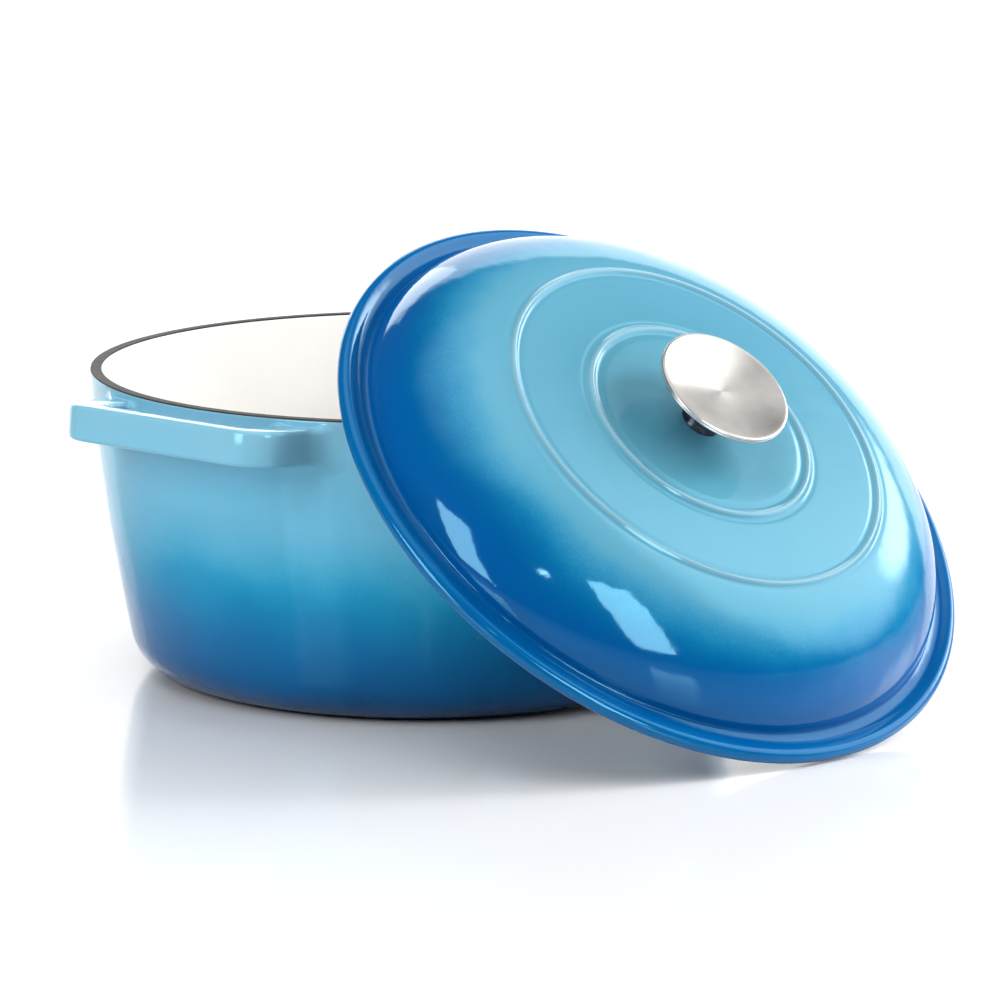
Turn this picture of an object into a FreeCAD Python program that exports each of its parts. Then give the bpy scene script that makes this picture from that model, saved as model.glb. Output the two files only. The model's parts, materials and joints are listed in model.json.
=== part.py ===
import FreeCAD, Part
import math
import os

# Enamelled cast iron dutch oven with its lid leaning against the pot. Millimetres, +Z up.
# The origin is the centre of the pot's foot ring, on the plane it stands on.
# +X and -X run through the two loop handles. The lid leans on the -Y side.

# --- Pot: driving dimensions ---
RIM_RADIUS = 132.0          # outer radius of the rim
POT_HEIGHT = 121.9          # foot ring to rim
WALL_LEAN = 4.1             # degrees from vertical of the outer wall at the rim
WALL_CURVE = 750.0          # radius of the slightly barrelled wall, seen from the side
WALL_SPANS = 6              # spans of the smooth curve drawn along that circle
CORNER_RADIUS = 19.5        # outer corner between wall and base
WALL_THICKNESS = 4.8        # iron and both coats, at the rim
BASE_THICKNESS = 6.2        # iron and both coats, in the middle of the base
INNER_CORNER_RADIUS = 17.0
ENAMEL = 0.4                # one fired coat
BARE_RIM = 0.4              # height of the uncoated iron band at the rim
RIM_ROUND = 0.3             # rounding of the bare rim's two top edges
FOOT_RECESS = 0.8           # how far the coated base stays above the bare foot ring
FOOT_INNER = 84.0
FOOT_OUTER = 94.0

# --- Loop handles, cast in one piece with the pot ---
HANDLE_REACH = 154.5        # outer face of the bar, from the pot's axis
HANDLE_HALF_WIDTH = 54.0
HANDLE_BAR = 10.5           # plan thickness of the bar
HANDLE_HEIGHT = 14.0
HANDLE_CORNER = 17.0        # outer corners in plan
SLOT_HALF_WIDTH = 38.5
SLOT_CORNER = 8.0
ROOT_OUTER_FILLET = 9.0     # where an arm's outer side runs into the wall
ROOT_INNER_FILLET = 5.0
HANDLE_EDGE = 2.0           # rounding of the long edges
HANDLE_DROP = 2.6           # top of the arm below the rim, at the wall
HANDLE_RISE = 5.0           # degrees by which the loop climbs away from the wall
HANDLE_WALL = 130.4         # wall radius at the bottom of the arms
HANDLE_ROOT_DEPTH = 30.0    # how far the loop's blank runs into the pot before the two are joined

# --- Lid, in its own frame: z = 0 is the face that sits on the rim ---
BEAD_CENTRE = 130.6         # rounded outer edge of the flange
BEAD_RADIUS = 3.1
BEAD_WRAP = 108.0           # degrees above level at which the bead runs into the groove
GROOVE_RADIUS = 125.6
GROOVE_TOP = 4.6
DOME_ROOT = 121.9
DOME_ROOT_Z = 6.2
DOME_POWER = 1.65           # 2 would make the shoulder a quarter ellipse
DOME_POINTS = 9             # points of the smooth curve drawn down the shoulder
RING_OUTER = 78.6
RING_OUTER_Z = 40.4
RING_INNER = 46.7
RING_INNER_Z = 42.4
CROWN_RADIUS = 41.0
CROWN_Z = 43.0
RING_HEIGHT = 1.1           # how far both raised rings stand up
RING_HALF_WIDTH = 1.7
LID_THICKNESS = 4.6
LIP_INNER = 120.4           # locating lip that drops inside the pot's mouth
LIP_OUTER = 125.2
LIP_DEPTH = 3.2
LIP_BLANK = 8.0             # spare width of the lip's blank, cut away by the hollow
LIP_ROOT = 0.5              # how far the lip's blank runs up into the flange
BASTING_RINGS = ((32.0, 8), (60.0, 14), (88.0, 20))
BASTING_RADIUS = 4.0
BASTING_HEIGHT = 1.6

# --- Knob, on the lid's axis ---
STEM_BASE_RADIUS = 8.2
STEM_WAIST_RADIUS = 6.9
STEM_TOP_RADIUS = 8.6
STEM_HEIGHT = 13.6
DISC_RADIUS = 26.9
DISC_RIM_TOP = 19.6         # top of the disc's rim above the crown
DISC_EDGE = 2.4
DISC_CHAMFER = 1.0
DISC_BELLY = (17.75, 1.4)   # a point on the disc's curved underside: radius, height above the stem
DISH_MARGIN = 2.0           # flat border round the dish
DISH_STEP = 0.15            # drop across that border
DISH_DEPTH = 3.0
POST_RADIUS = 5.0           # threaded post under the disc, inside the stem
POST_HEIGHT = 8.5
SCREW_RADIUS = 3.0
SCREW_GRIP = 7.5            # thread engaged in the post
SCREW_HEAD_RADIUS = 5.6
SCREW_HEAD_HEIGHT = 3.8
SCREW_HEAD_SIDE = 0.4       # share of the head's height that is its rounded end
SCREW_HEAD_FLAT = 2.0       # radius of the flat in the middle of the head
SCREW_HEAD_CROWN = (4.6, 0.8)
SCREW_SLOT = (6.4, 1.1, 1.8)     # length, width, depth of each arm of the cross recess
CLEAR_HOLE = 3.4
FLAT_WASHER = (9.0, 1.4)    # outer radius, thickness
LOCK_WASHER = (5.4, 1.5)
LOCK_WASHER_SPLIT = 1.2

# --- How the lid leans against the pot ---
LEAN_TILT = 41.05           # degrees between the lid and the table
LEAN_AZIMUTH = -95.3        # compass direction in which the lid faces
LID_X = -13.0               # lid centre, as seen from above
LID_Y = -125.7
TABLE_GAP = 0.3             # the lid's edge just clears the table plane

X = FreeCAD.Vector(1, 0, 0)
Y = FreeCAD.Vector(0, 1, 0)
Z = FreeCAD.Vector(0, 0, 1)
ORIGIN = FreeCAD.Vector(0, 0, 0)
BIG = 400.0
OVERCUT = 1.0               # how far a cutting shape runs past the face it cuts
LEVEL = 0.01                # height difference below which an edge counts as level


def point(radius, height):
    return FreeCAD.Vector(radius, 0, height)


def line(a, b):
    return Part.LineSegment(a, b).toShape()


def arc(a, middle, b):
    return Part.Arc(a, middle, b).toShape()


def arc_about(centre, radius, start, end):
    """Arc in the XZ plane about a centre, from one angle to another, in radians."""
    def at(angle):
        return point(centre.x + radius * math.cos(angle), centre.z + radius * math.sin(angle))
    return arc(at(start), at((start + end) / 2), at(end)), at(start), at(end)


def curve(points):
    spline = Part.BSplineCurve()
    spline.interpolate(points)
    return spline.toShape()


def lathe(edges):
    """Solid of revolution about Z of a closed outline in the XZ plane."""
    face = Part.Face(Part.Wire(edges))
    return face.revolve(ORIGIN, Z, 360)


def polygon_lathe(points):
    closed = points + [points[0]]
    return lathe([line(a, b) for a, b in zip(closed, closed[1:])])


def slab(low, high):
    return Part.makeBox(2 * BIG, 2 * BIG, high - low, FreeCAD.Vector(-BIG, -BIG, low))


def tube(outer, inner, low, high):
    return polygon_lathe([point(inner, low), point(outer, low), point(outer, high), point(inner, high)])


# ---------------------------------------------------------------- pot

def wall_centre():
    """Centre of the circle that the outer wall follows in side view."""
    lean = math.radians(WALL_LEAN)
    return point(RIM_RADIUS - WALL_CURVE * math.cos(lean), POT_HEIGHT + WALL_CURVE * math.sin(lean))


def pot_body(inset, floor, corner, top=POT_HEIGHT):
    """Filled pot shape, its wall moved in by inset, with a flat floor and a rounded corner."""
    centre = wall_centre()
    radius = WALL_CURVE - inset
    corner_z = floor + corner
    reach = radius - corner
    corner_x = centre.x + math.sqrt(reach ** 2 - (centre.z - corner_z) ** 2)
    meet = math.atan2(corner_z - centre.z, corner_x - centre.x)
    rounding, start, join = arc_about(point(corner_x, corner_z), corner, -math.pi / 2, meet)
    top_angle = math.asin((top - centre.z) / radius)
    angles = [meet + (top_angle - meet) * step / WALL_SPANS for step in range(WALL_SPANS + 1)]
    side = [point(centre.x + radius * math.cos(a), centre.z + radius * math.sin(a)) for a in angles]
    side[0] = join
    rim = side[-1]
    wall = curve(side)
    axis_top = point(0, top)
    axis_floor = point(0, floor)
    return lathe([line(axis_floor, start), rounding, wall, line(rim, axis_top), line(axis_top, axis_floor)])


def handle_outline(shrink):
    """Plan of one loop handle as an outer wire and a slot wire, at z = 0."""
    reach = HANDLE_REACH - shrink
    half = HANDLE_HALF_WIDTH - shrink
    corner = HANDLE_CORNER - shrink
    fillet = ROOT_OUTER_FILLET + shrink
    wall = HANDLE_WALL - shrink
    inside = wall - HANDLE_ROOT_DEPTH

    def at(x, y):
        return FreeCAD.Vector(x, y, 0)

    def side(half_y, radius, outward):
        """End of the arm's straight side, middle of its root fillet, and where that meets the wall."""
        centre_y = half_y + outward * radius
        centre_x = math.sqrt((wall + radius) ** 2 - centre_y ** 2)
        touch = at(centre_x * wall / (wall + radius), centre_y * wall / (wall + radius))
        start = at(centre_x, half_y)
        half_way = (start + touch) * 0.5 - at(centre_x, centre_y)
        middle = at(centre_x, centre_y) + half_way * (radius / half_way.Length)
        return start, middle, touch

    def mirror(v):
        return at(v.x, -v.y)

    def loop(face_x, half_y, radius, root, closing_x):
        start, middle, touch = root
        turn = radius * (1 - math.cos(math.pi / 4))
        bar_end = at(face_x, half_y - radius)
        turn_middle = at(face_x - turn, half_y - turn)
        arm_start = at(face_x - radius, half_y)
        closing = at(closing_x, touch.y)
        edges = [
            line(mirror(bar_end), bar_end),
            arc(bar_end, turn_middle, arm_start),
            line(arm_start, start),
            arc(start, middle, touch),
            line(touch, closing),
            line(closing, mirror(closing)),
            line(mirror(closing), mirror(touch)),
            arc(mirror(touch), mirror(middle), mirror(start)),
            line(mirror(start), mirror(arm_start)),
            arc(mirror(arm_start), mirror(turn_middle), mirror(bar_end)),
        ]
        return Part.Wire(edges)

    outer_root = side(half, fillet, 1)
    outer = loop(reach, half, corner, outer_root, inside)
    slot_half = SLOT_HALF_WIDTH + shrink
    slot_root = side(slot_half, ROOT_INNER_FILLET + shrink, -1)
    slot_corner = SLOT_CORNER + shrink
    slot_face = HANDLE_REACH - HANDLE_BAR + shrink
    slot = loop(slot_face, slot_half, slot_corner, slot_root, inside + HANDLE_EDGE)
    return outer, slot


def handle(shrink):
    """The +X loop handle, every surface moved in by shrink."""
    outer, slot = handle_outline(shrink)
    height = HANDLE_HEIGHT - 2 * shrink
    block = Part.Face(outer).extrude(Z * height)
    cut = Part.Face(slot).extrude(Z * height)
    loop = block.cut(cut)
    long_edges = []
    for edge in loop.Edges:
        middle = edge.valueAt((edge.FirstParameter + edge.LastParameter) / 2)
        level = edge.BoundBox.ZLength < LEVEL
        if level and math.hypot(middle.x, middle.y) > HANDLE_WALL - shrink:
            long_edges.append(edge)
    loop = loop.makeFillet(HANDLE_EDGE - shrink, long_edges)
    loop.translate(Z * (POT_HEIGHT - HANDLE_DROP - HANDLE_HEIGHT + shrink))
    pivot = point(HANDLE_WALL, POT_HEIGHT - HANDLE_DROP)
    loop.rotate(pivot, Y, -HANDLE_RISE)
    return loop


def both_handles(shrink):
    first = handle(shrink)
    second = first.copy()
    second.rotate(ORIGIN, Z, 180)
    return [first, second]


def build_pot():
    rim_foot = POT_HEIGHT - BARE_RIM
    coat_floor = FOOT_RECESS - ENAMEL
    coated = pot_body(0, coat_floor, CORNER_RADIUS).fuse(both_handles(0))
    iron = pot_body(ENAMEL, FOOT_RECESS, CORNER_RADIUS - ENAMEL).fuse(both_handles(ENAMEL))
    cavity = pot_body(WALL_THICKNESS, BASE_THICKNESS + coat_floor, INNER_CORNER_RADIUS)
    cavity_iron = pot_body(
        WALL_THICKNESS - ENAMEL, BASE_THICKNESS + coat_floor - ENAMEL, INNER_CORNER_RADIUS + ENAMEL
    )
    bare_band = slab(rim_foot, POT_HEIGHT)
    bare_rim = pot_body(0, coat_floor, CORNER_RADIUS).cut(cavity).common(bare_band)
    top_edges = [e for e in bare_rim.Edges if e.BoundBox.ZMin > POT_HEIGHT - LEVEL]
    bare_rim = bare_rim.makeFillet(RIM_ROUND, top_edges)
    foot = tube(FOOT_OUTER, FOOT_INNER, 0, FOOT_RECESS)
    below = slab(-OVERCUT, rim_foot)
    casting = iron.common(below).cut(cavity_iron).fuse([bare_rim, foot]).removeSplitter()
    exterior = coated.cut(iron).common(below).cut(cavity)
    exterior = exterior.cut(tube(FOOT_OUTER, 0, -OVERCUT, FOOT_RECESS + ENAMEL))
    interior = cavity_iron.cut(cavity).common(below)
    base_coat = tube(FOOT_INNER, 0, coat_floor, FOOT_RECESS)
    return {
        "pot_casting": casting,
        "pot_exterior_enamel": exterior,
        "pot_interior_enamel": interior,
        "pot_base_enamel": base_coat,
    }


# ---------------------------------------------------------------- lid

def dome_curve(inset):
    """Points down the shoulder, from the outer ring to the root, moved in along the normal."""
    width = DOME_ROOT - RING_OUTER
    rise = RING_OUTER_Z - DOME_ROOT_Z
    points = []
    for step in range(DOME_POINTS):
        t = math.pi / 2 * (1 - step / (DOME_POINTS - 1))
        r = RING_OUTER + width * math.cos(t) ** (2 / DOME_POWER)
        z = DOME_ROOT_Z + rise * math.sin(t) ** (2 / DOME_POWER)
        nr = ((r - RING_OUTER) / width) ** (DOME_POWER - 1) / width
        nz = ((z - DOME_ROOT_Z) / rise) ** (DOME_POWER - 1) / rise
        length = math.hypot(nr, nz)
        points.append(point(r - inset * nr / length, z - inset * nz / length))
    return points


def ring_edges(radius, height, inset):
    """A low raised ring's cross-section, as one arc, with the radii where it begins and ends."""
    half = RING_HALF_WIDTH - inset / 2
    outer = point(radius + half, height - inset)
    inner = point(radius - half, height - inset)
    crest = point(radius, height - inset + RING_HEIGHT)
    return outer, crest, inner


def lid_outer(inset):
    """Filled lid shape above its seat plane, its top surface moved in by inset."""
    tube_radius = BEAD_RADIUS - inset
    bead_centre = point(BEAD_CENTRE, BEAD_RADIUS)
    bead, bead_low, bead_high = arc_about(
        bead_centre, tube_radius, -math.pi / 2, math.radians(BEAD_WRAP)
    )
    groove = point(GROOVE_RADIUS, GROOVE_TOP - inset)
    shoulder = dome_curve(inset)
    shoulder.reverse()
    root = shoulder[0]
    o_out, o_crest, o_in = ring_edges(RING_OUTER, RING_OUTER_Z, inset)
    i_out, i_crest, i_in = ring_edges(RING_INNER, RING_INNER_Z, inset)
    shoulder[-1] = o_out
    crown = point(CROWN_RADIUS, CROWN_Z - inset)
    centre = point(0, CROWN_Z - inset)
    seat_edge = point(BEAD_CENTRE, 0)
    edges = [line(ORIGIN, seat_edge)]
    if inset:
        edges.append(line(seat_edge, bead_low))
    edges += [
        bead,
        line(bead_high, groove),
        line(groove, root),
        curve(shoulder),
        arc(o_out, o_crest, o_in),
        line(o_in, i_out),
        arc(i_out, i_crest, i_in),
        line(i_in, crown),
        line(crown, centre),
        line(centre, ORIGIN),
    ]
    return lathe(edges)


def lid_hollow(grow):
    """The space under the dome, inside the locating lip, made larger by grow."""
    inset = LID_THICKNESS - grow
    low = -LIP_DEPTH - OVERCUT
    shoulder = dome_curve(inset)
    first = shoulder[0]
    last = shoulder[-1]
    crown_z = CROWN_Z - inset
    mouth = point(LIP_INNER, low)
    axis_low = point(0, low)
    edges = [
        line(axis_low, mouth),
        line(mouth, last),
        curve(list(reversed(shoulder))),
        line(first, point(CROWN_RADIUS, crown_z)),
        line(point(CROWN_RADIUS, crown_z), point(0, crown_z)),
        line(point(0, crown_z), axis_low),
    ]
    return lathe(edges)


def ceiling_height(radius):
    """Height of the underside of the iron at a radius, on the flatter middle of the lid."""
    inset = LID_THICKNESS
    if radius <= CROWN_RADIUS:
        return CROWN_Z - inset
    if radius <= RING_OUTER:
        along = (radius - CROWN_RADIUS) / (RING_OUTER - CROWN_RADIUS)
        return CROWN_Z - inset + along * (RING_OUTER_Z - CROWN_Z)
    points = dome_curve(inset)
    for a, b in zip(points, points[1:]):
        if a.x <= radius <= b.x:
            return a.z + (b.z - a.z) * (radius - a.x) / (b.x - a.x)
    return points[-1].z


def basting_nubs(grow):
    """Small domes on the underside of the lid, where condensed steam gathers and drips."""
    radius = BASTING_RADIUS + grow
    nubs = []
    for ring, count in BASTING_RINGS:
        height = ceiling_height(ring) + BASTING_RADIUS - BASTING_HEIGHT
        for index in range(count):
            angle = 2 * math.pi * index / count
            centre = FreeCAD.Vector(ring * math.cos(angle), ring * math.sin(angle), height)
            nubs.append(Part.makeSphere(radius, centre))
    return nubs


def knob_cap():
    """Dished disc with a threaded post under it."""
    rim = CROWN_Z + DISC_RIM_TOP
    under = CROWN_Z + STEM_HEIGHT
    post_foot = under - POST_HEIGHT
    dish = rim - DISH_DEPTH
    edge_low = point(DISC_RADIUS, rim - DISC_EDGE)
    edge_high = point(DISC_RADIUS - DISC_CHAMFER, rim)
    dish_radius = DISC_RADIUS - DISH_MARGIN
    inner_rim = point(dish_radius, rim - DISH_STEP)
    dish_height = inner_rim.z - dish
    ball = (dish_radius ** 2 + dish_height ** 2) / (2 * dish_height)
    half = math.asin(dish_radius / ball) / 2
    dish_middle = point(ball * math.sin(half), dish + ball * (1 - math.cos(half)))
    belly_radius, belly_rise = DISC_BELLY
    profile = [
        line(point(SCREW_RADIUS, post_foot), point(POST_RADIUS, post_foot)),
        line(point(POST_RADIUS, post_foot), point(POST_RADIUS, under)),
        line(point(POST_RADIUS, under), point(STEM_TOP_RADIUS, under)),
        arc(point(STEM_TOP_RADIUS, under), point(belly_radius, under + belly_rise), edge_low),
        line(edge_low, edge_high),
        line(edge_high, inner_rim),
        arc(inner_rim, dish_middle, point(0, dish)),
        line(point(0, dish), point(0, post_foot + SCREW_GRIP)),
        line(point(0, post_foot + SCREW_GRIP), point(SCREW_RADIUS, post_foot + SCREW_GRIP)),
        line(point(SCREW_RADIUS, post_foot + SCREW_GRIP), point(SCREW_RADIUS, post_foot)),
    ]
    return lathe(profile)


def knob_stem():
    """Waisted sleeve between the lid and the disc."""
    top = CROWN_Z + STEM_HEIGHT
    waist = point(STEM_WAIST_RADIUS, CROWN_Z + STEM_HEIGHT / 2)
    foot = point(STEM_BASE_RADIUS, CROWN_Z)
    head = point(STEM_TOP_RADIUS, top)
    post_foot = top - POST_HEIGHT
    return lathe([
        line(point(CLEAR_HOLE, CROWN_Z), foot),
        arc(foot, waist, head),
        line(head, point(POST_RADIUS, top)),
        line(point(POST_RADIUS, top), point(POST_RADIUS, post_foot)),
        line(point(POST_RADIUS, post_foot), point(CLEAR_HOLE, post_foot)),
        line(point(CLEAR_HOLE, post_foot), point(CLEAR_HOLE, CROWN_Z)),
    ])


def knob_hardware():
    """Screw and washers that hold the knob from inside the lid."""
    flat_radius, flat_thick = FLAT_WASHER
    lock_radius, lock_thick = LOCK_WASHER
    ceiling = CROWN_Z - LID_THICKNESS
    flat_low = ceiling - flat_thick
    lock_low = flat_low - lock_thick
    tip = CROWN_Z + STEM_HEIGHT - POST_HEIGHT + SCREW_GRIP
    flat = tube(flat_radius, CLEAR_HOLE, flat_low, ceiling)
    lock = tube(lock_radius, CLEAR_HOLE, lock_low, flat_low)
    corner = FreeCAD.Vector(0, -LOCK_WASHER_SPLIT / 2, lock_low)
    gap = Part.makeBox(lock_radius, LOCK_WASHER_SPLIT, lock_thick, corner)
    lock = lock.cut(gap)
    head_low = lock_low - SCREW_HEAD_HEIGHT
    edge = point(SCREW_HEAD_RADIUS, lock_low - SCREW_HEAD_HEIGHT * SCREW_HEAD_SIDE)
    crown_radius, crown_rise = SCREW_HEAD_CROWN
    flat_edge = point(SCREW_HEAD_FLAT, head_low)
    head = lathe([
        line(point(0, head_low), flat_edge),
        arc(flat_edge, point(crown_radius, head_low + crown_rise), edge),
        line(edge, point(SCREW_HEAD_RADIUS, lock_low)),
        line(point(SCREW_HEAD_RADIUS, lock_low), point(SCREW_RADIUS, lock_low)),
        line(point(SCREW_RADIUS, lock_low), point(SCREW_RADIUS, tip)),
        line(point(SCREW_RADIUS, tip), point(0, tip)),
        line(point(0, tip), point(0, head_low)),
    ])
    length, width, depth = SCREW_SLOT
    corner = FreeCAD.Vector(-length / 2, -width / 2, head_low - OVERCUT)
    for turn in (0, 90):
        blade = Part.makeBox(length, width, depth + OVERCUT, corner)
        blade.rotate(ORIGIN, Z, turn)
        head = head.cut(blade)
    return {"knob_flat_washer": flat, "knob_lock_washer": lock, "knob_screw": head}


def build_lid():
    """All the pieces of the lid, in the lid's own frame."""
    hole = tube(CLEAR_HOLE, 0, 0, CROWN_Z + OVERCUT)
    hollow = lid_hollow(0)
    hollow_iron = lid_hollow(ENAMEL)
    lip = tube(LIP_OUTER, LIP_INNER - LIP_BLANK, -LIP_DEPTH, LIP_ROOT)
    below_dome = lid_outer(ENAMEL)
    iron = below_dome.fuse(lip).cut(hollow_iron)
    nubs = [nub.common(below_dome) for nub in basting_nubs(0)]
    casting = iron.fuse(nubs).removeSplitter().cut(hole)
    exterior = lid_outer(0).cut(below_dome).cut(hole)
    coat_low = slab(DOME_ROOT_Z - LID_THICKNESS, CROWN_Z)
    coat = hollow_iron.common(coat_low).cut(hollow)
    coat_nubs = [nub.common(below_dome) for nub in basting_nubs(ENAMEL)]
    interior = coat.fuse(coat_nubs).cut(iron.fuse(nubs)).cut(hole)
    pieces = {
        "lid_casting": casting,
        "lid_exterior_enamel": exterior,
        "lid_interior_enamel": interior,
        "knob_cap": knob_cap(),
        "knob_stem": knob_stem(),
    }
    pieces.update(knob_hardware())
    return pieces


def lean(shape):
    """Move a piece from the lid's own frame to where the lid leans against the pot."""
    lowest = BEAD_RADIUS * math.cos(math.radians(LEAN_TILT))
    lowest -= BEAD_CENTRE * math.sin(math.radians(LEAN_TILT)) + BEAD_RADIUS
    tilt = FreeCAD.Rotation(Y, LEAN_TILT)
    face = FreeCAD.Rotation(Z, LEAN_AZIMUTH)
    place = FreeCAD.Placement(FreeCAD.Vector(LID_X, LID_Y, TABLE_GAP - lowest), face.multiply(tilt))
    moved = shape.copy()
    moved.Placement = place.multiply(shape.Placement)
    return moved


def main():
    os.makedirs("parts", exist_ok=True)
    pieces = build_pot()
    for name, shape in build_lid().items():
        pieces[name] = lean(shape)
    for name, shape in pieces.items():
        shape.exportStep(f"parts/{name}.step")
        print(name, shape.isValid(), len(shape.Solids), round(shape.Volume))


main()
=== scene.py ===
import json
import math

import bpy
from mathutils import Matrix, Vector

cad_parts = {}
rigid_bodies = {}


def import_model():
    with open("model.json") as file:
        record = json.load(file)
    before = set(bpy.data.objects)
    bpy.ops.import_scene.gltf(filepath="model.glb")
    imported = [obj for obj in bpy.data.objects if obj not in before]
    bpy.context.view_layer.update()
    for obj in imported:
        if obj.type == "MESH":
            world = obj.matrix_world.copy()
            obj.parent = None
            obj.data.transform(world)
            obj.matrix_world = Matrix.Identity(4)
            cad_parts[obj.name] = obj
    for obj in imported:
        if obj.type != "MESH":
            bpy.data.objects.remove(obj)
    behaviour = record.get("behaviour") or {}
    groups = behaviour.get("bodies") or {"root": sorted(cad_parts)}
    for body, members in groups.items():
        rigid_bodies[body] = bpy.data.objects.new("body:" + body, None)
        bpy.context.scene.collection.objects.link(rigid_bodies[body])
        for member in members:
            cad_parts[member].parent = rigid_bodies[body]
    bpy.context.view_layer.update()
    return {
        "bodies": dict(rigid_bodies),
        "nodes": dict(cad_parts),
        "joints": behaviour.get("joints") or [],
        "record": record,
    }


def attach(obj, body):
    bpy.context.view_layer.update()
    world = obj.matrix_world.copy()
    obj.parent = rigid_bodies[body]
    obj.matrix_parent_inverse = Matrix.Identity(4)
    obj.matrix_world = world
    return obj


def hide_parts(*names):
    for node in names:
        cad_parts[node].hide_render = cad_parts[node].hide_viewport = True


# Looks for the enamelled cast iron pot and its leaning lid. Sizes are in millimetres, as in the
# CAD source, and are turned into metres where a mesh is made. Profiles are (radius, height).
MM = 0.001
TURNS = 360                 # steps round each turned surface
STEM_TURNS = 96
ON_AXIS = 1e-6              # a point with a smaller radius is one point, not a ring
ROUNDING_SHARE = 0.49       # a rounding takes at most this share of a side

# --- Pot ---
RIM_RADIUS = 132.0
POT_HEIGHT = 121.9
WALL_LEAN = 4.1             # degrees at the rim
WALL_CURVE = 750.0          # radius of the barrelled wall
CORNER_RADIUS = 19.5
WALL_THICKNESS = 4.8
FLOOR_TOP = 6.6
INNER_CORNER_RADIUS = 17.0
ENAMEL = 0.4
BARE_RIM = 0.4
FOOT_INNER = 84.0
FOOT_OUTER = 94.0
FOOT_DEPTH = 1.2
FOOT_EDGE = 0.5

# Rolled edges of the two coats, as (outwards from the wall, up from the coat's top, rounding)
OUTER_ROLL = ((-1.4, -0.4, 0.0), (-0.5, 0.08, 0.35), (-0.03, -0.4, 0.4))
INNER_ROLL = ((1.4, -0.4, 0.0), (0.5, 0.08, 0.35))
INNER_ROLL_FOOT = (0.5, 0.4)    # drop and rounding where the inner roll meets the wall
ROLL_DEPTH = 3.0            # the roll has become the wall this far down
COAT_BACK = 1.4             # the hidden back of the blue coat lies this far behind its face
COAT_BACK_DROP = 1.2        # a coat's hidden back starts this far down
COAT_GAP = 0.1              # between a coat and the foot ring
COAT_RETURN = 1.0           # the blue coat's edge at the foot ring turns up this far
BASE_BACK = 1.0             # height of the dark coat's hidden back
BASE_EDGE = 0.2
RIM_EDGE = 0.45
RIM_IN = 0.2                # the bare rim stands back from the faces of the coats beside it
RIM_OUT = 0.25
IRON_BEHIND_BLUE = 0.8
IRON_BEHIND_CREAM = 0.6
IRON_BEHIND_FLOOR = 0.8     # at the middle of the floor
IRON_DROP = 3.5             # the hidden iron behind the coats starts this far down

# --- Loop handles ---
HANDLE_REACH = 154.5
HANDLE_HALF_WIDTH = 54.0
HANDLE_BAR = 10.5
HANDLE_HEIGHT = 14.0
HANDLE_CORNER = 17.0
SLOT_HALF_WIDTH = 38.5
SLOT_CORNER = 8.0
HANDLE_EDGE = 2.0
HANDLE_DROP = 2.6
HANDLE_TOP = POT_HEIGHT - HANDLE_DROP
HANDLE_MIDDLE = HANDLE_TOP - HANDLE_HEIGHT / 2
HANDLE_CLIMB = 5.0          # degrees
HANDLE_WALL = 130.4         # the climb turns about this distance from the axis
ROOT_OUTER = 9.0            # fillets where an arm flares into the wall
ROOT_INNER = 5.0
ROOT_TOP = 1.2
ROOT_BOTTOM = 3.5
ROOT_SPREAD = 1.1           # the sunk first ring is this many fillets wider than the arm
ROOT_SUNK = 0.6
ROOT_OVERLAP = 0.04
ROOT_STEPS = 9
BEND_STEPS = 12
WALL_ROUNDS = 6             # rounds in which a point is moved onto the wall

# --- Lid, in its own frame: z = 0 is the face that sits on the rim ---
BEAD_CENTRE = 130.6
BEAD_RADIUS = 3.1
BEAD_SWEEP = 1.08 * math.pi
BEAD_STEPS = 14
BEAD_BACK = 1.0             # the hidden back passes this far in from the bead's middle and up
SKIN_TRIM = 0.03            # keeps the turned lid inside the box of the CAD solid
GROOVE_RADIUS = 126.2
GROOVE_TOP = 4.6
GROOVE_ROUNDING = 2.2
DOME_ROOT = 121.9
DOME_ROOT_Z = 6.2
DOME_POWER = 1.65
DOME_BACK = 0.9             # the blue coat's hidden back lies this far behind its face
VALLEY_RADIUS = DOME_ROOT + 0.3
VALLEY_TOP = DOME_ROOT_Z - 0.9
VALLEY_ROUNDING = 1.3
RING_OUTER = 78.6
RING_OUTER_Z = 40.4
RING_OUTER_HALF = 1.9       # half the width of the raised ring
RING_INNER = 46.7
RING_INNER_Z = 42.4
RING_INNER_HALF = 2.3
RING_HEIGHT = 1.1
RING_CREST = 0.62           # shares of the half width: the crest, and the place and width of its feet
RING_FOOT = 1.35
RING_FOOT_WIDTH = 0.5
RING_FOOT_DEPTH = 0.16      # share of the ring's height
CROWN_RADIUS = 41.0
CROWN_Z = 43.0
CROWN_BACK = 0.8
FINE_STEP = 0.3             # between circles where the raised rings are
WIDE_STEP = 1.5
UNDER_STEP = 1.0            # from the outer ring to the first circle of the underside
LID_THICKNESS = 4.6
LIP_INNER = 120.4
LIP_OUTER = 125.2
LIP_DEPTH = 3.2
LIP_ROUNDING = 0.8
LIP_ROOT = 0.5
LIP_DRAFT = 0.2             # the lip narrows by this much
LIP_SETBACK = 0.1           # its inner face stands back from the cream coat's edge
IRON_REACH = 0.3            # the bare ring ends this far outside the middle of the bead
IRON_LOW = 0.05
IRON_EDGE = 0.2
IRON_TOPS = (2.4, 3.2, 2.0)     # hidden heights over the lip's inner face, its outer face and the bead
CREAM_BACK = 0.6
MOUTH = ((0.0, 0.6), (0.6, 2.0))    # the cream coat's edge, as (out from the lip, height)
CREAM_FOOT = 1.6            # the cream side starts above this height
CREAM_SPREAD = 1.0          # its hidden back reaches this far past the lip
BASTING_RINGS = ((32.0, 8), (60.0, 14), (88.0, 20))
BASTING_HEIGHT = 1.6
BASTING_REACH = 4.2
BASTING_SINK = 0.06         # the edge of a nub lies this far inside the coat
BASTING_LEVELS = 9
BASTING_TURNS = 20
LEAN_TILT = 41.05
LEAN_AZIMUTH = -95.3
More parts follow.
